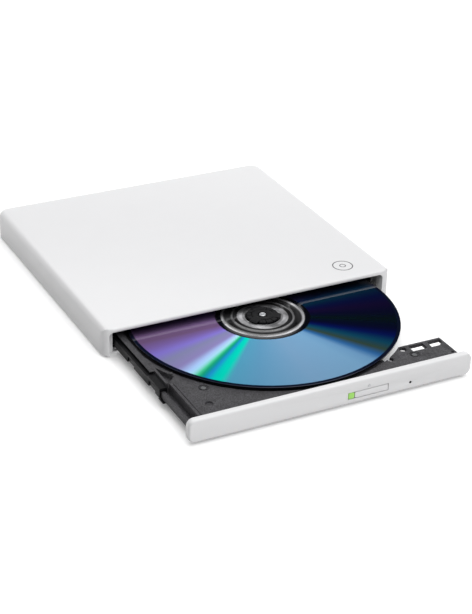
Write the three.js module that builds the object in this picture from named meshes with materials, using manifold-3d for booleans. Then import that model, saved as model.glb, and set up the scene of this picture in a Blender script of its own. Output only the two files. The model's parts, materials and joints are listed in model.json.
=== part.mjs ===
import * as THREE from 'three';
import { mergeVertices } from 'three/addons/utils/BufferGeometryUtils.js';
import Module from 'manifold-3d';

// Slim external optical drive, millimetres, +Z up, front face towards -Y.
// Fixed pieces are laid out with the housing front plane at y = 0; the moving pieces are laid
// out in their closed position and their groups are then drawn out by the travels below.

// ---------- driving dimensions ----------
const HOUSING_W = 142;
const HOUSING_D = 134.5;
const HOUSING_TOP = 14;
const HOUSING_BOTTOM = 0.6;
const WALL = 1.6;
const CEILING = 12.5;
const CORNER_R = 5.5;
const SIDE_EDGE = 3;
const FRONT_EDGE = 1;
const SKIRT = 4;
const RECESS = [-68.3, 66];
const RECESS_DEPTH = 3.4;
const OPENING = [-65.8, 66];
const FRAME_DEPTH = 4.9;

const BEZEL = { x0: -67.3, x1: 63.9, z0: 1.15, z1: 11.3, t: 3.1, corner: 3, edge: 1 };
const TRAY_OUT = 75.45;
const SLIDE_OUT = TRAY_OUT * 0.67;

const TRAY = { x0: -61.5, x1: 28, y0: 3.4, y1: 126.2, z0: 3.9, z1: 9 };
const STRIP = { x1: 60.8, y1: 20.5 };
const MIRROR_X = TRAY.x0 + TRAY.x1;

const HUB = { x: -0.3, y: 66.75 };
const DISC_R = 60;
const DISC_Z = [8.8, 10];
const RECESS_R = 61.2;
const RECESS_FLOOR = 7.6;
const FEED_ANGLE = Math.PI / 4;

const CASE = { x0: -67.1, x1: 63.7, y0: 5.6, y1: 128.3, z0: 2.3, t: 0.5, wallTop: 11.2 };
const LID_Z = [11.5, 12];

// ---------- materials ----------
const paint = (color, roughness, metalness) =>
  new THREE.MeshStandardMaterial({ color, roughness, metalness });
const WHITE = [0xf1f1f2, 0.45, 0];
const GREY_PLASTIC = [0x3f4043, 0.6, 0];
const BLACK_PLASTIC = [0x1d1d1f, 0.55, 0];
const RUBBER = [0x2a2a2c, 0.9, 0];
const STEEL = [0xb4b7bb, 0.35, 1];
const DARK_STEEL = [0x55585c, 0.45, 1];
const BOARD = [0x1f5a3a, 0.5, 0];
const COPPER = [0x8a5a33, 0.45, 1];
const PALE_PLASTIC = [0xd9d4c4, 0.6, 0];
const GREEN_WINDOW = [0x8fd94a, 0.3, 0];
const GLASS = [0x9fb4c8, 0.1, 0];
const MIRROR = [0xa9b6cf, 0.15, 1];

// ---------- geometry helpers ----------
const wasm = await Module();
wasm.setup();

function signedVolume(position, index) {
  const a = new THREE.Vector3();
  const b = new THREE.Vector3();
  const c = new THREE.Vector3();
  let volume = 0;
  for (let i = 0; i < index.length; i += 3) {
    a.fromBufferAttribute(position, index[i]);
    b.fromBufferAttribute(position, index[i + 1]);
    c.fromBufferAttribute(position, index[i + 2]);
    volume += a.dot(b.cross(c)) / 6;
  }
  return volume;
}

// Welds a geometry, drops the triangles that collapse, and turns its faces outwards.
function weld(source) {
  const geometry = source.clone();
  geometry.deleteAttribute('normal');
  geometry.deleteAttribute('uv');
  const welded = mergeVertices(geometry, 1e-4);
  const old = welded.index.array;
  const kept = [];
  for (let i = 0; i < old.length; i += 3) {
    const [a, b, c] = [old[i], old[i + 1], old[i + 2]];
    if (a !== b && b !== c && a !== c) kept.push(a, b, c);
  }
  if (signedVolume(welded.attributes.position, kept) < 0) kept.reverse();
  welded.setIndex(kept);
  welded.computeVertexNormals();
  return welded;
}

function solid(source) {
  const geometry = weld(source);
  return new wasm.Manifold(new wasm.Mesh({
    numProp: 3,
    vertProperties: new Float32Array(geometry.attributes.position.array),
    triVerts: new Uint32Array(geometry.index.array),
  }));
}

function skin(manifold) {
  const mesh = manifold.getMesh();
  const geometry = new THREE.BufferGeometry();
  geometry.setAttribute('position', new THREE.Float32BufferAttribute(mesh.vertProperties, 3));
  geometry.setIndex(Array.from(mesh.triVerts));
  geometry.computeVertexNormals();
  return geometry;
}

function boxAt(x0, x1, y0, y1, z0, z1) {
  const geometry = new THREE.BoxGeometry(x1 - x0, y1 - y0, z1 - z0);
  geometry.translate((x0 + x1) / 2, (y0 + y1) / 2, (z0 + z1) / 2);
  return geometry;
}

const block = (...limits) => solid(boxAt(...limits));

function postAt(x, y, r, z0, z1, segments = 32) {
  const geometry = new THREE.CylinderGeometry(r, r, z1 - z0, segments);
  geometry.rotateX(Math.PI / 2);
  geometry.translate(x, y, (z0 + z1) / 2);
  return geometry;
}

const post = (...args) => solid(postAt(...args));

// Cylinder lying along Y.
function rodAt(x, z, r, y0, y1, segments = 24) {
  const geometry = new THREE.CylinderGeometry(r, r, y1 - y0, segments);
  geometry.translate(x, (y0 + y1) / 2, z);
  return geometry;
}

const rod = (...args) => solid(rodAt(...args));

function polygon(points) {
  const shape = new THREE.Shape();
  points.forEach(([x, y], i) => (i ? shape.lineTo(x, y) : shape.moveTo(x, y)));
  shape.closePath();
  return shape;
}

function roundRect(x0, x1, y0, y1, r) {
  const shape = new THREE.Shape();
  shape.moveTo(x0 + r, y0);
  shape.lineTo(x1 - r, y0);
  shape.absarc(x1 - r, y0 + r, r, -Math.PI / 2, 0, false);
  shape.lineTo(x1, y1 - r);
  shape.absarc(x1 - r, y1 - r, r, 0, Math.PI / 2, false);
  shape.lineTo(x0 + r, y1);
  shape.absarc(x0 + r, y1 - r, r, Math.PI / 2, Math.PI, false);
  shape.lineTo(x0, y0 + r);
  shape.absarc(x0 + r, y0 + r, r, Math.PI, Math.PI * 1.5, false);
  return shape;
}

// Shape drawn in XY, raised from z0 to z1, with an optional rounded edge top and bottom.
function raised(shape, z0, z1, edge = 0, curveSegments = 6) {
  const geometry = new THREE.ExtrudeGeometry(shape, {
    depth: z1 - z0 - 2 * edge,
    bevelEnabled: edge > 0,
    bevelThickness: edge,
    bevelSize: edge,
    bevelOffset: -edge,
    bevelSegments: 1 + Math.ceil(2 * edge),
    curveSegments,
  });
  geometry.translate(0, 0, z0 + edge);
  return geometry;
}

// Shape drawn in XZ, run along Y from y0 to y1, with an optional rounded edge at both ends.
function along(shape, y0, y1, edge = 0, curveSegments = 6) {
  const geometry = raised(shape, -y1, -y0, edge, curveSegments);
  geometry.rotateX(Math.PI / 2);
  return geometry;
}

// Closed profile of [radius, z] pairs turned about a vertical axis.
function turned(points, segments = 48) {
  const closed = points.map(([r, z]) => new THREE.Vector2(r, z));
  if (points[0][0] > 0) closed.push(closed[0].clone());
  const geometry = new THREE.LatheGeometry(closed, segments);
  geometry.rotateX(Math.PI / 2);
  return geometry;
}

const asDrawn = (points) => points;
const mirrored = (points) => points.map(([x, z]) => [MIRROR_X - x, z]);

function add(parent, name, geometry, look) {
  const source = geometry instanceof THREE.BufferGeometry ? weld(geometry) : skin(geometry);
  const mesh = new THREE.Mesh(source, paint(...look));
  mesh.name = name;
  parent.add(mesh);
  return mesh;
}

function group(parent, name, x = 0, y = 0, z = 0, turn = 0) {
  const holder = new THREE.Group();
  holder.name = name;
  holder.position.set(x, y, z);
  holder.rotation.z = turn;
  parent.add(holder);
  return holder;
}

// ---------- housing ----------
const HALF = HOUSING_W / 2;
const FEET = [[-58, 14], [58, 14], [-58, 120], [58, 120]];
const COVER_SCREWS = [[-60, 130.7], [62, 130.7], [66.5, 30], [66.5, 90]];
const SOCKET_X = 52;

function topCover() {
  const under = HOUSING_BOTTOM - SKIRT;
  const outline = roundRect(-HALF, HALF, 0, HOUSING_D, CORNER_R);
  const longOutline = roundRect(-HALF, HALF, -2 * CORNER_R, HOUSING_D, CORNER_R);
  let shell = solid(raised(outline, under, HOUSING_TOP, FRONT_EDGE, 8));
  shell = shell.intersect(solid(raised(longOutline, under, HOUSING_TOP, SIDE_EDGE, 8)));
  const inner = roundRect(
    -HALF + WALL, HALF - WALL, FRAME_DEPTH, HOUSING_D - WALL, CORNER_R - WALL,
  );
  shell = shell.subtract(solid(raised(inner, under - 1, CEILING)));
  shell = shell.subtract(block(-80, 80, -5, 150, under - 1, HOUSING_BOTTOM + 0.2));
  const recess = roundRect(...RECESS, -10, CEILING, 2.2);
  shell = shell.subtract(solid(along(recess, -1, RECESS_DEPTH)));
  const mouth = roundRect(...OPENING, -10, CEILING, 1.2);
  shell = shell.subtract(solid(along(mouth, RECESS_DEPTH - 1, FRAME_DEPTH + 1)));
  shell = shell.subtract(block(
    SOCKET_X - 4.6, SOCKET_X + 4.6, HOUSING_D - 3, HOUSING_D + 1, 5, 10.2,
  ));
  for (const [x, y] of COVER_SCREWS) {
    shell = shell.add(post(x, y, 1.6, 3.2, CEILING + 0.4, 20));
    shell = shell.subtract(post(x, y, 1, 3, 8, 16));
  }
  return shell;
}

function bottomCover() {
  const m = WALL + 0.3;
  let plate = solid(raised(
    roundRect(-HALF + m, HALF - m, FRAME_DEPTH + 0.3, HOUSING_D - m, CORNER_R - m),
    HOUSING_BOTTOM, 1.9,
  ));
  plate = plate.add(block(
    OPENING[0] + 0.3, OPENING[1] - 0.3, RECESS_DEPTH + 0.2, 8, HOUSING_BOTTOM, 1.25,
  ));
  for (const [x, y] of FEET) plate = plate.subtract(post(x, y, 4.3, 0, 1.2, 24));
  for (const [x, y] of COVER_SCREWS) {
    plate = plate.subtract(post(x, y, 0.95, 0, 3, 16));
    plate = plate.subtract(post(x, y, 1.6, 0, 1.25, 20));
  }
  for (let i = 0; i < 9; i += 1) {
    plate = plate.subtract(block(-26 + i * 6, -23 + i * 6, 96, 112, 0, 3));
  }
  return plate;
}

function coverScrew() {
  return turned([[0, 0.75], [1.3, 0.75], [1.3, 0.92], [0.65, 1.15], [0.65, 7], [0, 7]], 16);
}

// ---------- drive frame ----------
function bottomCase() {
  const { x0, x1, y0, y1, z0, t, wallTop } = CASE;
  let pan = block(x0, x1, y0, y1, z0, wallTop);
  pan = pan.subtract(block(x0 + t, x1 - t, y0 - 1, y1 - t, z0 + t, wallTop + 1));
  pan = pan.subtract(block(SOCKET_X - 4.6, SOCKET_X + 4.6, y1 - 2, y1 + 1, 5, 10.2));
  for (let i = 0; i < 4; i += 1) {
    pan = pan.subtract(block(-40 + i * 18, -28 + i * 18, 84, 92, 0, 3));
  }
  return pan;
}

// Fixed channel that guides one intermediate slide; its mouth faces the tray.
const CHANNEL = [
  [-66.3, 3.1], [-63.2, 3.1], [-63.2, 3.6], [-65.7, 3.6],
  [-65.7, 8], [-63.2, 8], [-63.2, 8.4], [-66.3, 8.4],
];
const RAIL_REAR = 126;

// Intermediate slide: upright web, top flange, and a lip that runs in the groove of the tray.
const SLIDE = [
  [-65.2, 3.9], [-64.6, 3.9], [-64.6, 6.9], [-62.4, 6.9],
  [-62.4, 4.9], [-61.8, 4.9], [-61.8, 7.7], [-65.2, 7.7],
];
const SLIDE_REAR = 124.6;
const SLIDE_FRONT = { left: 3.85, right: 21.3 };
const TONGUE = {
  length: 3.4,
  profile: [[-65.2, 3.1], [-62.3, 3.1], [-62.3, 3.7], [-65.2, 3.7]],
  heel: [[-65.2, 3.1], [-64.6, 3.1], [-64.6, 4.5], [-65.2, 4.5]],
};
const CAP = { length: 11.8, profile: [[-65.2, 6.9], [-61.8, 6.9], [-61.8, 8.3], [-65.2, 8.3]] };
const NOTCH = { first: 11.65, pitch: 21.3, length: 6.3, top: 6.6, count: 5 };

// The fixed channels begin behind the caps of the closed slides.
function railFront(side) {
  return SLIDE_FRONT[side] + TONGUE.length + CAP.length + 0.3;
}

function slide(front, place) {
  const run = (profile, y0, y1) => solid(along(polygon(place(profile)), y0, y1));
  const body = front + TONGUE.length;
  let rail = run(SLIDE, body, SLIDE_REAR);
  rail = rail.add(run(CAP.profile, body, body + CAP.length));
  rail = rail.add(run(TONGUE.profile, front, body + 1));
  rail = rail.add(run(TONGUE.heel, body - 1, body + 1));
  const notch = [[-67, 3], [-64, 3], [-64, NOTCH.top], [-67, NOTCH.top]];
  for (let i = 0; i < NOTCH.count; i += 1) {
    const y = NOTCH.first + i * NOTCH.pitch;
    if (y > body) rail = rail.subtract(run(notch, y, y + NOTCH.length));
  }
  return rail;
}

function socketShell() {
  let tube = block(SOCKET_X - 4, SOCKET_X + 4, 124, HOUSING_D - 0.4, 5.9, 9.7);
  tube = tube.subtract(block(SOCKET_X - 3.5, SOCKET_X + 3.5, 128, HOUSING_D + 1, 6.4, 9.2));
  return tube.add(block(SOCKET_X - 2.4, SOCKET_X + 2.4, 127, HOUSING_D - 1.6, 7.6, 8.2));
}

// ---------- tray ----------
// Corner of the feed mechanism, given in its own turned frame, as a tray position.
function fromFeed([u, v]) {
  const c = Math.cos(FEED_ANGLE);
  const s = Math.sin(FEED_ANGLE);
  return [HUB.x + u * c - v * s, HUB.y + u * s + v * c];
}

const FEED_WINDOW = [
  [-24, -24], [10, -24], [24, -10], [24, 57.5], [15.5, 67], [-15, 67], [-24, 46],
];
const DAMPERS = [[-20.5, -20.5], [20.5, -1], [-20.5, 38]];
const BOSSES = [[-49.1, 24.9], [43.4, 12.5]];
const LIP_START = 44.95;
const LATCH_PIVOT = [54, 6.5];
const LATCH_OPEN = THREE.MathUtils.degToRad(12);

function trayBody() {
  const { x0, x1, y0, y1, z0, z1 } = TRAY;
  let body = block(x0, x1, y0, y1, z0, z1);
  const ledge = [
    [x0 + 0.5, z0], [x0 + 0.5, 4.5], [x0 - 1.2, 4.5], [x0 - 1.2, 6.6], [x0 - 2.9, 6.6],
    [x0 - 2.9, z0],
  ];
  body = body.add(solid(along(polygon(ledge), y0, y1)));
  body = body.add(solid(along(polygon(mirrored(ledge)), y0, y1)));

  // Recess for the disc, and the part of the front strip that follows its rim.
  const strip = block(x1 - 0.5, STRIP.x1, y0, STRIP.y1, z0, z1)
    .subtract(post(HUB.x, HUB.y, RECESS_R + 0.4, 0, 12, 128));
  body = body.add(strip);
  body = body.subtract(post(HUB.x, HUB.y, RECESS_R, RECESS_FLOOR, 12, 128));

  // Pockets that leave ribs under the deck.
  for (let i = 0; i < 3; i += 1) {
    const left = x0 + 2 + i * 21.4;
    body = body.subtract(block(left, left + 19.6, 5, 30, z0 - 1, 6.3));
  }
  body = body.subtract(block(-59.5, -45.5, 33, 64, z0 - 1, 6.3));
  body = body.subtract(block(5, 26, 91, 124, z0 - 1, 6.3));
  body = body.subtract(block(-4, 26, 5, 14, z0 - 1, 6.3));
  body = body.subtract(block(-59.5, -45, 112, 124, z0 - 1, 6.3));

  // Window for the feed mechanism, with the ears that carry its dampers.
  body = body.subtract(solid(raised(polygon(FEED_WINDOW.map(fromFeed)), 0, 12)));
  for (const ear of DAMPERS) {
    const [x, y] = fromFeed(ear);
    body = body.add(post(x, y, 4, z0, 4.9, 28));
    body = body.subtract(post(x, y, 0.8, 0, 6, 16));
  }

  body = body.subtract(rod(18, 5, 1.25, 122, 127, 20));

  // Front wall hole for the stem of the button.
  body = body.subtract(block(13.2, 16.8, y0 - 1, 6, z0 - 1, 6.3));

  // Deck edge: a lip over the left slide, and a narrower deck in front of it.
  body = body.add(block(x0 - 2.1, x0 + 0.5, LIP_START, y1, 8.6, z1));
  body = body.subtract(block(x0 - 1, x0 + 1.2, y0 - 1, 33.85, 4.5, z1 + 1));

  // Front strip: thin plate behind, through openings, latch pocket, path of the lock post.
  body = body.subtract(block(31.6, 62, 13.7, STRIP.y1 + 1, z0 - 1, 7.5));
  body = body.subtract(block(44.3, 51.4, 14.9, 19.3, 0, 12));
  const corner = [[53.4, 14.8], [57.2, 14.8], [59.9, 16.4], [59.9, 19.2], [53.9, 19.2]];
  body = body.subtract(solid(raised(polygon(corner), 0, 12)));
  body = body.subtract(post(41, 18.1, 1.7, 0, 12, 24));
  body = body.subtract(post(31.8, 13, 1.5, 5.5, 12, 24));
  body = body.subtract(post(59.3, 7.7, 0.7, 7, 12, 20));
  body = body.subtract(block(36.5, 49.5, 4.8, 10.6, z0 - 1, 6.3));
  body = body.subtract(block(49, 61, 4.3, 14.1, z0 - 1, 6.3));
  body = body.subtract(block(57.6, 61, 13, 21, z0 - 1, 6.3));

  // Deck details around the disc.
  const wedge = [[-60.35, 47.3], [-60.55, 33.4], [-56.1, 37.95], [-57.2, 39.85]];
  body = body.subtract(solid(raised(polygon(wedge), 6.9, 12)));
  body = body.add(block(-57.2, -55.9, 39.3, 40.6, 6.9, 9.5));
  for (const [x, y] of BOSSES) {
    body = body.subtract(post(x, y, 2.2, 8.6, 12, 28));
    body = body.add(post(x, y, 1.75, z0, 9.05, 28));
    body = body.subtract(post(x, y, 1.45, 8.1, 12, 24));
    body = body.subtract(post(x, y, 0.9, 0, 12, 16));
  }
  body = body.subtract(post(-52.3, 12.9, 1.7, 8.4, 12, 24));
  body = body.subtract(block(x0 + 2.4, x0 + 2.75, y0 - 1, 33, 8.7, 12));
  body = body.subtract(block(33.3, 34.3, y0 - 1, 5.5, 3.8, 6));
  return body;
}

function bezel() {
  const { x0, x1, z0, z1, t, corner, edge } = BEZEL;
  let front = solid(along(roundRect(x0, x1, z0, z1, corner), 0, t + 3, edge, 8));
  front = front.subtract(block(x0 - 1, x1 + 1, t, t + 4, z0 - 1, z1 + 1));
  for (const [a, b] of [[-63, -34], [-32.5, 2], [25, 31], [36.5, 60]]) {
    front = front.subtract(block(a, b, 1.5, t + 1, 3.2, 10));
  }
  front = front.subtract(block(4, 23.2, -1, t + 1, 3.4, 6.6));
  return front.subtract(rod(33.8, 4.5, 0.6, -1, t + 1, 20));
}

function ejectButton() {
  const cap = solid(along(roundRect(7.3, 22.9, 3.7, 6.3, 0.5), 0.05, 2.2));
  return cap.add(block(14, 16, 2, 4.5, 4.3, 5.7));
}

function bottomPlate() {
  let plate = solid(raised(roundRect(-59, 26.5, 6, 124.5, 3), 3.1, 3.5));
  plate = plate.subtract(block(0, 27.5, 5, 13.5, 3, 4));
  for (let i = 0; i < 5; i += 1) {
    plate = plate.subtract(block(-50 + i * 12, -44 + i * 12, 14, 26, 3, 4));
  }
  return plate;
}

function latchLever() {
  const arm = polygon([
    [-1.7, 1.4], [-4, 1.2], [-4, -0.4], [-1.6, -1.5], [1.4, -1.5], [2.2, 0], [3.6, 4.3],
    [5, 4.9], [5, 6.4], [1.6, 6.4], [1.2, 1.7],
  ]);
  return solid(raised(arm, 4.3, 5.8)).subtract(post(0, 0, 0.9, 0, 8, 20));
}

// ---------- feed mechanism, in its own frame with +Y from the spindle towards the rim ----------
const ROD_X = 14.2;
const SCREW_X = 18.6;
const LENS_START = 24.5;

function chassisPlate() {
  let plate = solid(raised(polygon([
    [-23.5, -23.5], [9.8, -23.5], [23.5, -9.8], [23.5, 7], [16.2, 7], [16.2, 62], [14, 66],
    [-14.6, 66], [-23.5, 45.8],
  ]), 6.6, 7.3));
  plate = plate.subtract(post(0, 0, 12.8, 6, 8, 48));
  plate = plate.subtract(block(-11.5, 11.5, 8, 65, 6, 8));
  for (const [x, y] of DAMPERS) plate = plate.subtract(post(x, y, 1.2, 6, 8, 20));
  return plate;
}

function sled() {
  let body = block(-12.6, 12.6, LENS_START - 9, LENS_START + 7, 3.8, 6.3);
  body = body.add(block(-16, -12, LENS_START - 7, LENS_START + 5, 3.8, 6.3));
  body = body.add(block(12, 17.3, LENS_START - 3.5, LENS_START + 4, 3.8, 6.3));
  for (const side of [-1, 1]) {
    body = body.subtract(rod(side * ROD_X, 5.05, 1, 0, 80, 20));
    body = body.add(block(side * 7 - 1.2, side * 7 + 1.2, LENS_START - 5, LENS_START + 5, 6, 7.7));
  }
  return body.subtract(block(-4, 4, LENS_START - 3, LENS_START + 3, 5.2, 8));
}

function lensHolder() {
  return block(-5, 5, LENS_START - 4, LENS_START + 4, 6.7, 7.5)
    .subtract(post(0, LENS_START, 2.4, 6, 8, 32));
}

function leadScrew() {
  const profile = [[0, 0]];
  for (let i = 0; i < 11; i += 1) {
    profile.push([0.9, i * 3 + 0.2], [0.9, i * 3 + 2], [0.6, i * 3 + 2.6]);
  }
  profile.push([0.9, 33.2], [0.9, 33.8], [0, 33.8]);
  const geometry = turned(profile, 12);
  geometry.rotateX(-Math.PI / 2);
  return geometry;
}

function feedMotor() {
  let motor = rod(SCREW_X, 5.6, 1.9, 9, 20.4, 32);
  motor = motor.add(block(20.2, 21, 14, 57, 4.4, 6.4));
  return motor.add(block(17.8, 21, 56.2, 57, 4.4, 6.4));
}

// ---------- spindle ----------
function discBody() {
  return turned([
    [7.5, DISC_Z[0]], [16.8, DISC_Z[0]], [17, DISC_Z[0] - 0.15], [17.8, DISC_Z[0] - 0.15],
    [18, DISC_Z[0]], [DISC_R, DISC_Z[0]], [DISC_R, DISC_Z[1]], [11.7, DISC_Z[1]],
    [11.5, DISC_Z[1] - 0.12], [11.1, DISC_Z[1] - 0.12], [10.9, DISC_Z[1]], [7.5, DISC_Z[1]],
  ], 120);
}

function turntable() {
  return turned([
    [1.9, 6.6], [10.6, 6.6], [10.6, 4.7], [12.1, 4.7], [12.1, 7.7], [14.8, 7.7], [14.8, 8.5],
    [1.9, 8.5],
  ], 48);
}

function hubCap() {
  let cap = solid(turned([
    [1.9, 8.8], [7.1, 8.8], [7.1, 10.1], [6.6, 10.8], [5.6, 11], [2.8, 11], [1.9, 10.8],
  ], 48));
  for (let i = 0; i < 3; i += 1) {
    const pocket = boxAt(-2.3, 2.3, 3.3, 8, 9.5, 12);
    pocket.rotateZ(i * Math.PI * 2 / 3);
    cap = cap.subtract(solid(pocket));
  }
  return cap;
}

function claw() {
  const section = polygon([
    [4.4, 9.8], [6.9, 9.8], [7, 10.3], [7.9, 10.35], [7.9, 10.5], [6.9, 10.95], [4.4, 10.95],
  ]);
  const geometry = new THREE.ExtrudeGeometry(section, { depth: 4, bevelEnabled: false });
  geometry.rotateX(Math.PI / 2);
  geometry.translate(0, 2, 0);
  return geometry;
}

// ---------- assembly ----------
const object = new THREE.Group();
object.name = 'optical_drive';
const drive = group(object, 'drive_at_housing_front', 0, -(HOUSING_D - TRAY_OUT) / 2, 0);

const housing = group(drive, 'housing');
add(housing, 'top_cover', topCover(), WHITE);
add(housing, 'bottom_cover', bottomCover(), WHITE);
FEET.forEach(([x, y], i) => {
  add(housing, `foot_${i + 1}`, postAt(x, y, 4, 0, 0.9, 24), RUBBER);
});
COVER_SCREWS.forEach(([x, y], i) => {
  add(housing, `cover_screw_${i + 1}`, coverScrew(), STEEL).position.set(x, y, 0);
});

const frame = group(drive, 'drive_frame');
add(frame, 'drive_bottom_case', bottomCase(), STEEL);
const lid = raised(roundRect(CASE.x0 + 0.2, CASE.x1 - 0.2, CASE.y0, CASE.y1, 1), ...LID_Z);
add(frame, 'drive_top_case', lid, STEEL);
const leftRail = along(polygon(CHANNEL), railFront('left'), RAIL_REAR);
const rightRail = along(polygon(mirrored(CHANNEL)), railFront('right'), RAIL_REAR);
add(frame, 'fixed_rail_left', leftRail, BLACK_PLASTIC);
add(frame, 'fixed_rail_right', rightRail, BLACK_PLASTIC);
add(frame, 'main_board', boxAt(34.2, 62.6, 26, 127, 4.6, 5.6), BOARD);
add(frame, 'controller_chip', boxAt(40, 53, 60, 73, 5.9, 7.1), BLACK_PLASTIC);
add(frame, 'driver_chip', boxAt(40, 48, 86, 94, 5.9, 7.1), BLACK_PLASTIC);
add(frame, 'ribbon_connector', boxAt(37, 57, 34, 38.5, 5.9, 7.4), PALE_PLASTIC);
add(frame, 'usb_socket', socketShell(), STEEL);
add(frame, 'lock_post', turned([[0, 3.1], [1.6, 3.1], [1.6, 3.5], [0.9, 3.5], [0.9, 5.8],
  [0, 5.8]], 24), STEEL).position.set(59.2, 10.2, 0);

const slides = group(drive, 'slides', 0, -SLIDE_OUT, 0);
add(slides, 'slide_left', slide(SLIDE_FRONT.left, asDrawn), BLACK_PLASTIC);
add(slides, 'slide_right', slide(SLIDE_FRONT.right, mirrored), BLACK_PLASTIC);

const tray = group(drive, 'tray_assembly', 0, -TRAY_OUT, 0);
add(tray, 'tray', trayBody(), GREY_PLASTIC);
add(tray, 'front_bezel', bezel(), WHITE);
add(tray, 'eject_button', ejectButton(), WHITE);
const lamp = along(roundRect(4.35, 6.95, 3.65, 6.35, 0.5), 0.1, 2.6);
add(tray, 'light_window', lamp, GREEN_WINDOW);
add(tray, 'tray_bottom_plate', bottomPlate(), STEEL);
add(tray, 'tray_board', boxAt(1, 25.4, 6.4, 12.6, 5.2, 6), BOARD);
add(tray, 'eject_switch', boxAt(12.6, 17.4, 5.6, 8.8, 3.9, 4.9), BLACK_PLASTIC);
BOSSES.forEach(([x, y], i) => {
  add(tray, `tray_screw_${i + 1}`, turned([[0, 4.2], [0.6, 4.2], [0.6, 8.4], [1.15, 8.4],
    [1.15, 8.9], [0, 8.9]], 20), DARK_STEEL).position.set(x, y, 0);
});
add(tray, 'latch_solenoid', boxAt(37, 48.8, 5.3, 10.1, 4.3, 6), COPPER);
const latch = group(tray, 'latch', LATCH_PIVOT[0], LATCH_PIVOT[1], 0, LATCH_OPEN);
add(latch, 'latch_lever', latchLever(), STEEL);
add(tray, 'ejector_plunger', rodAt(18, 5, 0.9, 118.5, 127.3, 20), GREY_PLASTIC);

const feed = group(tray, 'feed_mechanism', HUB.x, HUB.y, 0, FEED_ANGLE);
add(feed, 'chassis_plate', chassisPlate(), DARK_STEEL);
DAMPERS.forEach(([x, y], i) => {
  add(feed, `damper_${i + 1}`, turned([[1.1, 5.2], [2.8, 5.2], [2.8, 6.3], [1.1, 6.3]], 24),
    RUBBER).position.set(x, y, 0);
  add(feed, `damper_screw_${i + 1}`, turned([[0, 4.2], [0.5, 4.2], [0.5, 5], [0.8, 5], [0.8, 7.6],
    [2, 7.6], [2, 8], [0, 8]], 20), STEEL).position.set(x, y, 0);
});
add(feed, 'guide_rod_1', rodAt(-ROD_X, 5.05, 0.7, 14, 65, 20), STEEL);
add(feed, 'guide_rod_2', rodAt(ROD_X, 5.05, 0.7, 14, 65, 20), STEEL);
add(feed, 'feed_motor', feedMotor(), STEEL);
add(feed, 'lead_screw', leadScrew(), STEEL).position.set(SCREW_X, 21.6, 5.6);
add(feed, 'pickup_sled', sled(), DARK_STEEL);
add(feed, 'lens_holder', lensHolder(), BLACK_PLASTIC);
add(feed, 'objective_lens', turned([[0, 6.9], [2, 6.9], [2, 7.5], [1.6, 7.8], [0.9, 8], [0, 8.05]],
  32), GLASS).position.set(0, LENS_START, 0);

const spindle = group(tray, 'spindle', HUB.x, HUB.y, 0);
add(spindle, 'spindle_base', turned([[0, 3.8], [13.5, 3.8], [13.5, 4.3], [4, 4.3], [4, 5.3],
  [0, 5.3]], 48), STEEL);
add(spindle, 'spindle_rotor', turntable(), DARK_STEEL);
add(spindle, 'spindle_shaft', turned([[0, 5.6], [1.5, 5.6], [1.5, 11.1], [0.9, 11.1],
  [0.5, 10.6], [0, 10.6]], 28), STEEL);
add(spindle, 'hub_cap', hubCap(), BLACK_PLASTIC);
for (let i = 0; i < 3; i += 1) {
  const holder = group(spindle, `claw_frame_${i + 1}`, 0, 0, 0, Math.PI / 2 + i * Math.PI * 2 / 3);
  add(holder, `hub_claw_${i + 1}`, claw(), BLACK_PLASTIC);
}
add(spindle, 'disc', discBody(), MIRROR);

export default object;
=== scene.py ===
"""Looks of the external optical drive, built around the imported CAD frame."""
import json
import math

import bmesh
import bpy
from mathutils import Matrix, Vector

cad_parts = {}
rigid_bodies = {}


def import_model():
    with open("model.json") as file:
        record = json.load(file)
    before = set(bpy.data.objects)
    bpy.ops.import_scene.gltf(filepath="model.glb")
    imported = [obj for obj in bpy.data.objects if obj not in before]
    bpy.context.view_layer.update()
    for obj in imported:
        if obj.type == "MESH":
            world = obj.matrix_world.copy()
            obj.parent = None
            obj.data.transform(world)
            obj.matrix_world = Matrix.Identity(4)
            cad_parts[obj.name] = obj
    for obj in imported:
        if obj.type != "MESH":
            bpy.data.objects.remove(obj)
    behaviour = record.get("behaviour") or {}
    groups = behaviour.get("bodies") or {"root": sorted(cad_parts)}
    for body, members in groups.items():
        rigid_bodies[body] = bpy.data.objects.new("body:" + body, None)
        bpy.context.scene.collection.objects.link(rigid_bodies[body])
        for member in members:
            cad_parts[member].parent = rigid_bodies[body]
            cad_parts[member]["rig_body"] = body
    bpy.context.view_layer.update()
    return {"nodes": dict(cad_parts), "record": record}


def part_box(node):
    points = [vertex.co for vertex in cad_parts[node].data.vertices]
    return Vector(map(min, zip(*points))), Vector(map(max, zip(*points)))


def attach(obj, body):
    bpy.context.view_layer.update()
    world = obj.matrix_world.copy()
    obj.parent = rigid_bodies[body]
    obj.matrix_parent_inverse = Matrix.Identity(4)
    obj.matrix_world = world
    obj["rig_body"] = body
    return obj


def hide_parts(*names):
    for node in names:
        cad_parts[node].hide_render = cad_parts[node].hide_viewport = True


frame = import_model()
MM = 0.001

# ---------- places taken from the frame, in metres ----------
HOUSING_LOW, HOUSING_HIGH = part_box("top_cover")
BEZEL_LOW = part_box("front_bezel")[0]
BUTTON_LOW, BUTTON_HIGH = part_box("eject_button")
DISC_LOW, DISC_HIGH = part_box("disc")
CAP_LOW, CAP_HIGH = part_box("hub_cap")
HUB_X = (DISC_LOW.x + DISC_HIGH.x) / 2
HUB_Y = (DISC_LOW.y + DISC_HIGH.y) / 2
DISC_TOP = DISC_HIGH.z
DISC_R = (DISC_HIGH.x - DISC_LOW.x) / 2

# ---------- camera ----------
CAMERA_PLACE = Vector((-298.384, -581.594, 347.005)) * MM
CAMERA_AZIMUTH = math.radians(-27.674)
CAMERA_ELEVATION = math.radians(28.247)
CAMERA_ROLL = math.radians(1.662)
FOCAL_PIXELS = 1624.12
IMAGE_WIDTH = 472
SENSOR = 36


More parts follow.
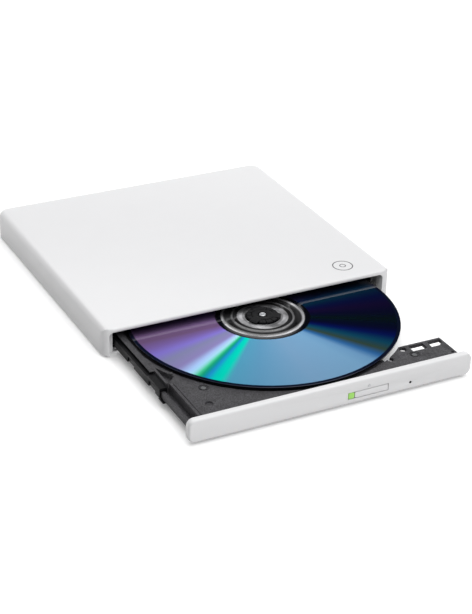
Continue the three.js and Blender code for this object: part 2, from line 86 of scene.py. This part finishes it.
def make_camera():
    data = bpy.data.cameras.new("camera")
    data.sensor_fit = "HORIZONTAL"
    data.sensor_width = SENSOR
    data.lens = FOCAL_PIXELS / IMAGE_WIDTH * SENSOR
    data.clip_start = 0.01
    data.clip_end = 50
    camera = bpy.data.objects.new("camera", data)
    back = Vector((
        math.sin(CAMERA_AZIMUTH) * math.cos(CAMERA_ELEVATION),
        -math.cos(CAMERA_AZIMUTH) * math.cos(CAMERA_ELEVATION),
        math.sin(CAMERA_ELEVATION),
    ))
    right = Vector((0, 0, 1)).cross(back).normalized()
    up = back.cross(right)
    turn = Matrix.Rotation(CAMERA_ROLL, 4, back)
    axes = Matrix((turn @ right, turn @ up, back)).transposed()
    camera.matrix_world = Matrix.Translation(CAMERA_PLACE) @ axes.to_4x4()
    bpy.context.scene.collection.objects.link(camera)
    bpy.context.scene.camera = camera


make_camera()


# ---------- materials ----------
class Look:
    """A Principled material and short ways to add nodes to it."""

    def __init__(self, name, color, roughness, metallic=0.0, **sockets):
        self.material = bpy.data.materials.new(name)
        self.material.use_nodes = True
        self.nodes = self.material.node_tree.nodes
        self.links = self.material.node_tree.links
        self.shader = self.nodes["Principled BSDF"]
        self.inputs = self.shader.inputs
        self.inputs["Base Color"].default_value = (*color, 1)
        self.inputs["Roughness"].default_value = roughness
        self.inputs["Metallic"].default_value = metallic
        for key, value in sockets.items():
            self.inputs[key.replace("_", " ")].default_value = value

    def feed(self, value, socket):
        if hasattr(value, "default_value"):
            self.links.new(value, socket)
        elif isinstance(value, tuple) and len(value) == 3 and len(socket.default_value) == 4:
            socket.default_value = (*value, 1)
        else:
            socket.default_value = value

    def add(self, kind, **inputs):
        node = self.nodes.new(kind)
        for key, value in inputs.items():
            self.feed(value, node.inputs[key.replace("_", " ")])
        return node

    def place(self, stretch=(1, 1, 1)):
        """Object-space position in metres, optionally stretched."""
        texture = self.nodes.new("ShaderNodeTexCoord")
        return self.add("ShaderNodeMapping", Vector=texture.outputs["Object"],
                        Scale=stretch).outputs["Vector"]

    def noise(self, vector, scale, detail=3.0):
        node = self.add("ShaderNodeTexNoise", Vector=vector, Scale=scale, Detail=detail)
        return node.outputs["Fac"]

    def span(self, value, low, high, start=0.0, end=1.0, smooth=False):
        """Maps start..end to low..high."""
        node = self.add("ShaderNodeMapRange", From_Min=start, From_Max=end, To_Min=low, To_Max=high)
        if smooth:
            node.interpolation_type = "SMOOTHSTEP"
        self.feed(value, node.inputs["Value"])
        return node.outputs["Result"]

    def math(self, operation, *values):
        node = self.nodes.new("ShaderNodeMath")
        node.operation = operation
        for socket, value in zip(node.inputs, values):
            self.feed(value, socket)
        return node.outputs[0]

    def mix(self, factor, a, b, mode="MIX"):
        node = self.nodes.new("ShaderNodeMix")
        node.data_type = "RGBA"
        node.blend_type = mode
        self.feed(factor, node.inputs[0])
        self.feed(a, node.inputs[6])
        self.feed(b, node.inputs[7])
        return node.outputs[2]

    def ramp(self, factor, stops):
        """Colour ramp from (position, color) stops that start at 0 and end at 1."""
        node = self.nodes.new("ShaderNodeValToRGB")
        elements = node.color_ramp.elements
        for position, _ in stops[1:-1]:
            elements.new(position)
        for element, (position, color) in zip(elements, stops):
            element.position = position
            element.color = (*color, 1)
        self.feed(factor, node.inputs["Fac"])
        return node.outputs["Color"]

    def color(self, value):
        self.feed(value, self.inputs["Base Color"])

    def roughness(self, value):
        self.feed(value, self.inputs["Roughness"])

    def bump(self, height, strength, distance):
        node = self.add("ShaderNodeBump", Height=height, Strength=strength, Distance=distance)
        self.feed(node.outputs["Normal"], self.inputs["Normal"])

    def drift(self, color, amount, vector, scale):
        """Slow colour drift around a base colour."""
        dark = tuple(c * (1 - amount) for c in color)
        light = tuple(min(1, c * (1 + amount)) for c in color)
        self.color(self.mix(self.noise(vector, scale), dark, light))


def moulded(name, color, roughness, grain, depth, strength, drift, **sockets):
    """Moulded plastic: spark-eroded grain, slight colour and gloss drift."""
    look = Look(name, color, roughness, **sockets)
    place = look.place()
    look.drift(color, drift, place, 70)
    look.bump(look.noise(place, grain, 2), strength, depth)
    look.roughness(look.span(look.noise(place, 160), roughness - 0.05, roughness + 0.06))
    return look.material


def tray_plastic():
    """Glass-filled dark plastic: speckled, with a coarse and a fine grain."""
    color = (0.043, 0.042, 0.046)
    look = Look("tray_filled_plastic", color, 0.55, Specular_IOR_Level=0.18)
    place = look.place()
    flecks = look.noise(place, 2600, 1)
    patches = look.noise(place, 220, 4)
    shade = look.math("MULTIPLY", look.span(flecks, 0.35, 1.65, 0.3, 0.7),
                      look.span(patches, 0.8, 1.2, 0.3, 0.7))
    look.color(look.mix(1.0, color, shade, "MULTIPLY"))
    look.bump(flecks, 0.55, 0.03 * MM)
    look.roughness(look.span(patches, 0.4, 0.62))
    return look.material


def brushed(name, color, roughness, stretch=(1, 30, 30), scale=400):
    """Rolled sheet metal: fine streaks one way, faint smears."""
    look = Look(name, color, roughness, 1.0)
    look.drift(color, 0.08, look.place(), 120)
    look.roughness(look.span(look.noise(look.place(), 90), roughness - 0.08, roughness + 0.1))
    look.bump(look.noise(look.place(stretch), scale, 4), 0.12, 0.01 * MM)
    return look.material


def printed_board():
    """Solder mask over copper tracks, with pale pads."""
    look = Look("solder_mask", (0.01, 0.09, 0.035), 0.35, Coat_Weight=0.4, Coat_Roughness=0.2)
    place = look.place()
    bricks = look.add("ShaderNodeTexBrick", Vector=place, Scale=420, Mortar_Size=0.012)
    tracks = look.mix(bricks.outputs["Fac"], (0.01, 0.08, 0.03), (0.02, 0.15, 0.06))
    cells = look.add("ShaderNodeTexVoronoi", Vector=place, Scale=330)
    pads = look.math("LESS_THAN", cells.outputs["Distance"], 0.16)
    look.color(look.mix(pads, tracks, (0.55, 0.5, 0.42)))
    look.bump(pads, 0.3, 0.03 * MM)
    return look.material


def lamp_window():
    look = Look("lit_green_window", (0.25, 0.62, 0.1), 0.3)
    look.inputs["Emission Color"].default_value = (0.40, 0.40, 0.12, 1)
    look.inputs["Emission Strength"].default_value = 0.2
    look.bump(look.noise(look.place(), 2500), 0.1, 0.02 * MM)
    return look.material


def lens_glass():
    look = Look("lens_glass", (0.3, 0.4, 0.75), 0.05, Coat_Weight=1.0, Transmission_Weight=0.4)
    look.bump(look.noise(look.place(), 300), 0.02, 0.01 * MM)
    return look.material


# Painted diffraction highlights of the recorded side, with a painted dark reflected sector, by
# direction from the hub, in degrees from +X.
PAINTED_DIFFRACTION = [
    (-180, (0.17, 0.10, 0.21)),
    (-174, (0.20, 0.13, 0.38)),
    (-168, (0.24, 0.19, 0.62)),
    (-162, (0.24, 0.25, 0.42)),
    (-154, (0.28, 0.24, 0.50)),
    (-149.5, (0.42, 0.60, 0.95)),
    (-147, (0.40, 0.74, 0.92)),
    (-145, (0.08, 0.62, 0.34)),
    (-143, (0.00, 0.33, 0.16)),
    (-140.5, (0.02, 0.28, 0.62)),
    (-137.5, (0.00, 0.62, 0.50)),
    (-134.5, (0.00, 0.66, 0.50)),
    (-131.5, (0.09, 0.34, 0.50)),
    (-120, (0.12, 0.32, 0.50)),
    (-96, (0.19, 0.35, 0.53)),
    (-72, (0.19, 0.37, 0.56)),
    (-65, (0.16, 0.33, 0.53)),
    (-60, (0.03, 0.13, 0.34)),
    (-55, (0.04, 0.065, 0.045)),
    (-49, (0.006, 0.065, 0.11)),
    (-42, (0.001, 0.008, 0.085)),
    (-36, (0.001, 0.003, 0.026)),
    (-27, (0.001, 0.009, 0.012)),
    (-19, (0.003, 0.004, 0.024)),
    (-12, (0.009, 0.004, 0.032)),
    (-4, (0.002, 0.006, 0.045)),
    (3, (0.001, 0.024, 0.050)),
    (14, (0.004, 0.010, 0.040)),
    (50, (0.10, 0.07, 0.20)),
    (95, (0.20, 0.30, 0.50)),
    (140, (0.15, 0.10, 0.25)),
    (180, (0.17, 0.10, 0.21)),
]

# Painted reflections of the moulded clear hub: brightness by radius in millimetres.
PAINTED_HUB_GLINTS = [
    (7.4, 0.05), (7.9, 0.30), (8.7, 0.22), (9.2, 0.42), (11.0, 0.36), (11.4, 0.03), (12.9, 0.02),
    (13.3, 0.22), (13.8, 0.16), (14.2, 0.03), (16.6, 0.035), (17.0, 0.12), (17.5, 0.50),
    (18.2, 0.55), (18.6, 0.01),
]
HUB_EDGE = 18.5
DATA_START = 20.8
DATA_END = 58.4


def disc_look():
    """Painted diffraction fans (painted highlights and a painted dark reflected sector) around the
    hub under a clear lacquer, with painted reflections on the moulded rings at the centre.
    """
    look = Look("recorded_disc", (0.2, 0.3, 0.5), 0.42, 1.0, Coat_Weight=1.0, Coat_Roughness=0.02,
                Coat_IOR=1.5, Specular_Tint=(0.3, 0.3, 0.3, 1))
    texture = look.nodes.new("ShaderNodeTexCoord")
    shift = look.add("ShaderNodeMapping", Vector=texture.outputs["Object"],
                     Location=(-HUB_X, -HUB_Y, 0))
    split = look.add("ShaderNodeSeparateXYZ", Vector=shift.outputs["Vector"])
    x, y = split.outputs["X"], split.outputs["Y"]
    radius = look.math("MULTIPLY", look.math("POWER", look.math(
        "ADD", look.math("MULTIPLY", x, x), look.math("MULTIPLY", y, y)), 0.5), 1000.0)
    angle = look.math("DIVIDE", look.math("ADD", look.math("ARCTAN2", y, x), math.pi), 2 * math.pi)

    # Painted diffraction highlights and painted dark reflection by angle; fade paints them brighter
    # towards the hub.
    painted_fans = look.ramp(angle, [((d + 180) / 360, color) for d, color in PAINTED_DIFFRACTION])
    fade = look.span(radius, 1.27, 1.03, DATA_START, DATA_END)
    data = look.mix(1.0, painted_fans, fade, "MULTIPLY")
    dark_ring = look.mix(look.span(radius, 0, 1, DATA_START - 0.3, DATA_START + 0.3),
                         (0.003, 0.004, 0.008), data)

    # Painted ring reflections on the clear hub, broken up by painted glint arcs around it.
    low, high = PAINTED_HUB_GLINTS[0][0], PAINTED_HUB_GLINTS[-1][0]
    rings = look.ramp(look.span(radius, 0, 1, low, high),
                      [((r - low) / (high - low), (v, v, v * 1.03)) for r, v in PAINTED_HUB_GLINTS])
    painted_glint_arcs = look.add("ShaderNodeTexNoise", Vector=look.add(
        "ShaderNodeCombineXYZ", X=look.math("MULTIPLY", angle, 9.0),
        Y=look.math("MULTIPLY", radius, 0.35), Z=0.0).outputs[0], Scale=1.0, Detail=2.0)
    clear = look.mix(1.0, rings, look.span(painted_glint_arcs.outputs["Fac"], 0.35, 1.5, 0.3, 0.7), "MULTIPLY")
    inside = look.mix(look.span(radius, 0, 1, HUB_EDGE - 0.1, HUB_EDGE + 0.1), clear, dark_ring)
    rim = look.span(radius, 0, 1, DATA_END - 0.15, DATA_END + 0.15)
    look.color(look.mix(rim, inside, (0.006, 0.010, 0.028)))
    look.bump(look.math("SINE", look.math("MULTIPLY", radius, 30.0)), 0.015, 0.01 * MM)
    return look.material


def ink(name, color):
    look = Look(name, color, 0.5)
    look.drift(color, 0.06, look.place(), 900)
    look.bump(look.noise(look.place(), 4000), 0.2, 0.01 * MM)
    return look.material


def floor_look():
    look = Look("pale_floor", (0.96, 0.96, 0.96), 0.95, Specular_IOR_Level=0.1,
                Emission_Color=(1, 1, 1, 1), Emission_Strength=0.12)
    look.roughness(look.span(look.noise(look.place(), 40), 0.9, 0.98))
    return look.material


LOOKS = {
    "white_shell": moulded("white_satin_plastic", (0.655, 0.655, 0.664), 0.4,
                           5200, 0.012 * MM, 0.22, 0.012, Coat_Weight=0.4, Coat_Roughness=0.25),
    "grey_plastic": tray_plastic(),
    "black_plastic": moulded("slide_black_plastic", (0.005, 0.005, 0.006), 0.42,
                             2600, 0.02 * MM, 0.3, 0.15, Specular_IOR_Level=0.08),
    "rubber": moulded("foot_rubber", (0.03, 0.03, 0.031), 0.85, 2500, 0.03 * MM, 0.5, 0.1),
    "steel": brushed("satin_steel", (0.55, 0.56, 0.58), 0.34),
    "dark_steel": brushed("dark_steel", (0.14, 0.145, 0.15), 0.4),
    "circuit_board": printed_board(),
    "pale_plastic": moulded("pale_connector", (0.5, 0.47, 0.4), 0.5, 3000, 0.02 * MM, 0.3, 0.05),
    "lamp_window": lamp_window(),
    "copper_coil": brushed("copper_winding", (0.42, 0.17, 0.07), 0.4, (60, 1, 1), 250),
    "zinc": brushed("cast_zinc", (0.3, 0.31, 0.33), 0.5, (1, 1, 1), 1500),
    "lens_glass": lens_glass(),
    "disc_mirror": disc_look(),
}
SLOT_OF = {part["node"]: part["material_slot"] for part in frame["record"]["subparts"]}


# ---------- making pieces ----------
MERGE_WITHIN = 0.001 * MM
FLAT_WITHIN = math.radians(0.6)


def new_piece(name, mesh, body, slot, replaced=(), look=None):
    piece = bpy.data.objects.new(name, mesh)
    bpy.context.scene.collection.objects.link(piece)
    mesh.materials.clear()
    mesh.materials.append(look or LOOKS[slot])
    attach(piece, body)
    if replaced:
        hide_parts(*replaced)
    return piece


def smooth(work):
    for face in work.faces:
        face.smooth = True


def round_edges(piece, width, segments=2, angle=32):
    bevel = piece.modifiers.new("edges", "BEVEL")
    bevel.width = width
    bevel.segments = segments
    bevel.limit_method = "ANGLE"
    bevel.angle_limit = math.radians(angle)
    bevel.harden_normals = True


def body_of(node):
    return frame["nodes"][node]["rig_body"]


def softened(node, width, segments=2):
    """Stands for a CAD node with the same faces and small rounded edges."""
    mesh = frame["nodes"][node].data.copy()
    work = bmesh.new()
    work.from_mesh(mesh)
    bmesh.ops.remove_doubles(work, verts=work.verts, dist=MERGE_WITHIN)
    bmesh.ops.dissolve_limit(work, angle_limit=FLAT_WITHIN, verts=work.verts, edges=work.edges)
    smooth(work)
    work.to_mesh(mesh)
    work.free()
    piece = new_piece(f"{node}_look", mesh, body_of(node), SLOT_OF[node], (node,))
    round_edges(piece, width, segments)
    return piece


def lathe(work, profile, x, y, segments):
    """Turns closed (radius, height) points about a vertical axis."""
    rings = []
    for step in range(segments):
        turn = 2 * math.pi * step / segments
        c, s = math.cos(turn), math.sin(turn)
        rings.append([work.verts.new((x + r * c, y + r * s, z)) for r, z in profile])
    for step, ring in enumerate(rings):
        after = rings[(step + 1) % segments]
        for i in range(len(profile)):
            j = (i + 1) % len(profile)
            work.faces.new((ring[i], after[i], after[j], ring[j]))


def finish_mesh(work, name):
    bmesh.ops.recalc_face_normals(work, faces=work.faces)
    smooth(work)
    mesh = bpy.data.meshes.new(name)
    work.to_mesh(mesh)
    work.free()
    return mesh


def millimetres(points, lift=0.0):
    return [(r * MM, z * MM + lift) for r, z in points]


# ---------- shell, tray and slides ----------
EDGES = {
    "top_cover": 0.15, "bottom_cover": 0.12, "front_bezel": 0.12, "eject_button": 0.15,
    "light_window": 0.1, "tray": 0.1, "slide_left": 0.1, "slide_right": 0.1,
    "fixed_rail_left": 0.1, "fixed_rail_right": 0.1, "drive_bottom_case": 0.1,
    "drive_top_case": 0.1, "tray_bottom_plate": 0.08, "chassis_plate": 0.1, "pickup_sled": 0.12,
    "lens_holder": 0.12, "latch_lever": 0.1, "main_board": 0.06, "usb_socket": 0.08,
}
for edge_node, edge_width in EDGES.items():
    softened(edge_node, edge_width * MM)
# The inner drive cases are coloured near black in place of their steel: painted shade for the dark
# inside of the housing.
CASE_SHADE_LOOK = brushed("case_painted_shade", (0.05, 0.05, 0.054), 0.5)
for case_node in ("drive_bottom_case", "drive_top_case"):
    bpy.data.objects[f"{case_node}_look"].data.materials[0] = CASE_SHADE_LOOK


# ---------- disc ----------
# Moulded steps of the hub area, (radius, height above the top face) in millimetres.
HUB_STEPS = [
    (22, 0), (18.7, 0), (18.45, 0.05), (18.2, 0.12), (17.5, 0.12), (17.2, 0.02), (14.1, 0),
    (13.8, 0.07), (13.4, 0.07), (13.1, 0), (11.4, -0.05), (11.1, 0), (7.8, 0), (7.5, -0.15),
]
DISC_SEGMENTS = 256


def make_disc():
    base, top, rim = DISC_LOW.z, DISC_TOP, DISC_R
    profile = [(7.5 * MM, base + 0.3 * MM), (7.7 * MM, base + 0.15 * MM)]
    profile += [(rim - 0.5 * MM, base + 0.15 * MM), (rim - 0.12 * MM, base + 0.3 * MM),
                (rim, base + 0.6 * MM), (rim, top - 0.1 * MM), (rim - 0.1 * MM, top)]
    profile += millimetres(HUB_STEPS, top)
    work = bmesh.new()
    lathe(work, profile, HUB_X, HUB_Y, DISC_SEGMENTS)
    piece = new_piece("disc_look", finish_mesh(work, "disc"), body_of("disc"), "disc_mirror",
                      ("disc",))
    round_edges(piece, 0.02 * MM, 1, 25)


make_disc()


# ---------- hub cap with petals between the claws ----------
CLAW_COUNT = 3
CLAW_START = 90
CLAW_HALF = 19
PETALS = 3
PETAL_GAP = 3


def sector(work, r0, r1, z0, z1, start, end, steps=8):
    """Closed block between two radii and two angles in degrees, top falling outwards."""
    rows = []
    for step in range(steps + 1):
        turn = math.radians(start + (end - start) * step / steps)
        c, s = math.cos(turn), math.sin(turn)
        corners = [(r0, z0), (r1, z0), (r1, z1 - 0.28), (r1 - 0.35, z1), (r0, z1)]
        rows.append([work.verts.new((HUB_X + r * MM * c, HUB_Y + r * MM * s, z * MM))
                     for r, z in corners])
    count = len(rows[0])
    for a, b in zip(rows, rows[1:]):
        for i in range(count):
            j = (i + 1) % count
            work.faces.new((a[i], b[i], b[j], a[j]))
    work.faces.new(rows[0])
    work.faces.new(list(reversed(rows[-1])))


def make_hub_cap():
    top = CAP_HIGH.z / MM
    floor = CAP_LOW.z / MM
    work = bmesh.new()
    core = [(1.9, floor), (6.9, floor), (6.9, top - 1.25), (4.75, top - 1.2), (4.75, top - 0.1),
            (4.3, top), (2.9, top), (2.7, top - 0.12), (2.45, top - 0.12), (2.3, top),
            (1.9, top - 0.1)]
    lathe(work, millimetres(core), HUB_X, HUB_Y, 96)
    width = (360 / CLAW_COUNT - 2 * CLAW_HALF) / PETALS
    for claw in range(CLAW_COUNT):
        first = CLAW_START + claw * 360 / CLAW_COUNT + CLAW_HALF
        for petal in range(PETALS):
            start = first + petal * width + PETAL_GAP / 2
            sector(work, 4.95, 7.25, top - 1.3, top - 0.15, start, start + width - PETAL_GAP)
    piece = new_piece("hub_cap_look", finish_mesh(work, "hub_cap"), body_of("hub_cap"),
                      SLOT_OF["hub_cap"], ("hub_cap",))
    round_edges(piece, 0.06 * MM)


make_hub_cap()


def make_shaft():
    """Hollow end of the spindle shaft, seen in the middle of the hub cap."""
    low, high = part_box("spindle_shaft")
    edge = (high.x - low.x) / 2
    bore = edge * 0.5
    chamfer = edge * 0.15
    profile = [(bore, low.z), (edge, low.z), (edge, high.z - chamfer), (edge - chamfer, high.z),
               (bore + chamfer, high.z), (bore, high.z - chamfer)]
    work = bmesh.new()
    lathe(work, profile, HUB_X, HUB_Y, 48)
    new_piece("spindle_shaft_look", finish_mesh(work, "shaft"), body_of("spindle_shaft"),
              SLOT_OF["spindle_shaft"], ("spindle_shaft",))


make_shaft()

# ---------- printed marks ----------
MARK_GREY = ink("mark_ink", (0.085, 0.085, 0.09))
FAINT_GREY = ink("faint_mark_ink", (0.5, 0.5, 0.52))
MARK_THICK = 0.03 * MM
HOLE_X = BUTTON_HIGH.x + 10.9 * MM
HOLE_Z = (BUTTON_LOW.z + BUTTON_HIGH.z) / 2 - 0.5 * MM
# A dark cup in the emergency hole: painted shade deep in the hole.
SHADE_CUP_OUTER = 0.56 * MM
SHADE_CUP_INNER = 0.48 * MM
SHADE_CUP_DEPTH = 2.8 * MM
SHADE_CUP_FLOOR = 0.3 * MM
SHADE_CUP_INSET = 0.15 * MM
SHADE_CUP_SEGMENTS = 32
MARK_AT = Vector((52 * MM, HOUSING_LOW.y + 12.5 * MM, HOUSING_HIGH.z))


def make_disc_mark():
    """Plain disc pictogram: a large ring and a small ring."""
    work = bmesh.new()
    low, high = MARK_AT.z - MARK_THICK, MARK_AT.z + MARK_THICK
    for inner, outer in ((4.3, 4.8), (1.1, 1.55)):
        ring = [(inner * MM, low), (outer * MM, low), (outer * MM, high), (inner * MM, high)]
        lathe(work, ring, MARK_AT.x, MARK_AT.y, 64)
    new_piece("disc_mark", finish_mesh(work, "disc_mark"), "base", "grey_plastic", (), MARK_GREY)


def prism(work, outline, y0, y1):
    """Closed prism of an (x, z) outline between two depths."""
    front = [work.verts.new((x, y0, z)) for x, z in outline]
    rear = [work.verts.new((x, y1, z)) for x, z in outline]
    count = len(outline)
    for i in range(count):
        j = (i + 1) % count
        work.faces.new((front[i], front[j], rear[j], rear[i]))
    work.faces.new(list(reversed(front)))
    work.faces.new(rear)


def make_eject_mark():
    """Triangle over a bar, above the button."""
    x = (BUTTON_LOW.x + BUTTON_HIGH.x) / 2 - 1.3 * MM
    z = BUTTON_HIGH.z + 1.7 * MM
    work = bmesh.new()
    depth = (BEZEL_LOW.y - MARK_THICK, BEZEL_LOW.y + MARK_THICK)
    half = 0.75 * MM
    prism(work, [(x - half, z), (x + half, z), (x, z + 0.85 * MM)], *depth)
    bar = [(x - half, z - 0.55 * MM), (x + half, z - 0.55 * MM), (x + half, z - 0.25 * MM),
           (x - half, z - 0.25 * MM)]
    prism(work, bar, *depth)
    new_piece("eject_mark", finish_mesh(work, "eject_mark"), "tray_unit", "grey_plastic", (),
              FAINT_GREY)


def make_hole_shade_cup():
    """Dark blind cup in the emergency hole of the bezel: a dark piece that paints the shade deep in
    the hole.
    """
    work = bmesh.new()
    cup = [(SHADE_CUP_OUTER, 0), (SHADE_CUP_OUTER, SHADE_CUP_DEPTH), (SHADE_CUP_INNER, SHADE_CUP_DEPTH),
           (SHADE_CUP_INNER, SHADE_CUP_FLOOR)]
    axis_bottom = work.verts.new((0, 0, 0))
    axis_top = work.verts.new((0, 0, SHADE_CUP_FLOOR))
    rings = []
    for step in range(SHADE_CUP_SEGMENTS):
        turn = 2 * math.pi * step / SHADE_CUP_SEGMENTS
        rings.append([work.verts.new((r * math.cos(turn), r * math.sin(turn), z))
                      for r, z in cup])
    for ring, after in zip(rings, rings[1:] + rings[:1]):
        for i in range(len(ring) - 1):
            work.faces.new((ring[i], after[i], after[i + 1], ring[i + 1]))
        work.faces.new((ring[0], axis_bottom, after[0]))
        work.faces.new((after[-1], axis_top, ring[-1]))
    forward = Matrix.Rotation(math.radians(90), 4, "X")
    place = Vector((HOLE_X, BEZEL_LOW.y + SHADE_CUP_DEPTH + SHADE_CUP_INSET, HOLE_Z))
    bmesh.ops.transform(work, matrix=Matrix.Translation(place) @ forward, verts=work.verts)
    new_piece("emergency_hole_shade_cup", finish_mesh(work, "hole_shade_cup"), "tray_unit",
              "black_plastic")


make_hole_shade_cup()
make_disc_mark()
make_eject_mark()

for node_name, node_object in frame["nodes"].items():
    node_object.data.materials.clear()
    node_object.data.materials.append(LOOKS[SLOT_OF[node_name]])


# ---------- stage and light ----------
FLOOR_HALF = 4


def make_stage():
    """Pale floor. It gives no bounced light: make_world() sets the light off the ground."""
    mesh = bpy.data.meshes.new("floor")
    half = FLOOR_HALF
    mesh.from_pydata([(-half, -half, 0), (half, -half, 0), (half, half, 0), (-half, half, 0)], [],
                     [(0, 1, 2, 3)])
    mesh.materials.append(floor_look())
    floor = bpy.data.objects.new("floor", mesh)
    bpy.context.scene.collection.objects.link(floor)
    floor.visible_diffuse = False


# Strengths, and the bands of the unit direction (x, y, z) over which each one fades.
HIGH_LIGHT = 2.03
HIGH_BAND = (0.53, 0.66)
LEFT_SHARE = 0.32
LEFT_BAND = (-0.7, -0.05)
BACK_CARD = 1.2
CARD_TOP = (0.35, 0.42)
CARD_BAND = (0.3, 0.6)
FRONT_LIGHT = 0.62
ROOM_LIGHT = 0.02
FRONT_BAND = (-0.8, -0.3)
GROUND_FRONT = 1.08
GROUND_SIDE = 0.06
GROUND_TOP = (-0.02, 0.0)
GROUND_BAND = (-0.75, -0.25)


def make_world():
    """Overhead softbox, a low card behind, a dim room in front, and light off the ground."""
    world = bpy.data.worlds.new("studio")
    world.use_nodes = True
    nodes, links = world.node_tree.nodes, world.node_tree.links

    def ranged(value, start, end, low, high):
        node = nodes.new("ShaderNodeMapRange")
        node.interpolation_type = "SMOOTHSTEP"
        for key, number in (("From Min", start), ("From Max", end), ("To Min", low),
                            ("To Max", high)):
            node.inputs[key].default_value = number
        links.new(value, node.inputs["Value"])
        return node.outputs["Result"]

    def product_plus(a, b, rest):
        node = nodes.new("ShaderNodeMath")
        node.operation = "MULTIPLY_ADD"
        for socket, value in zip(node.inputs, (a, b, rest)):
            links.new(value, socket)
        return node.outputs[0]

    texture = nodes.new("ShaderNodeTexCoord")
    split = nodes.new("ShaderNodeSeparateXYZ")
    links.new(texture.outputs["Generated"], split.inputs[0])
    x, y, z = (split.outputs[axis] for axis in "XYZ")
    total = ranged(y, *FRONT_BAND, FRONT_LIGHT, ROOM_LIGHT)
    total = product_plus(ranged(z, *GROUND_TOP, 1.0, 0.0),
                         ranged(y, *GROUND_BAND, GROUND_FRONT, GROUND_SIDE), total)
    total = product_plus(ranged(z, *CARD_TOP, 1.0, 0.0),
                         ranged(y, *CARD_BAND, 0.0, BACK_CARD), total)
    total = product_plus(ranged(z, *HIGH_BAND, 0.0, HIGH_LIGHT),
                         ranged(x, *LEFT_BAND, LEFT_SHARE, 1.0), total)
    links.new(total, nodes["Background"].inputs["Color"])
    bpy.context.scene.world = world


make_stage()
make_world()
bpy.context.scene.view_settings.view_transform = "Standard"
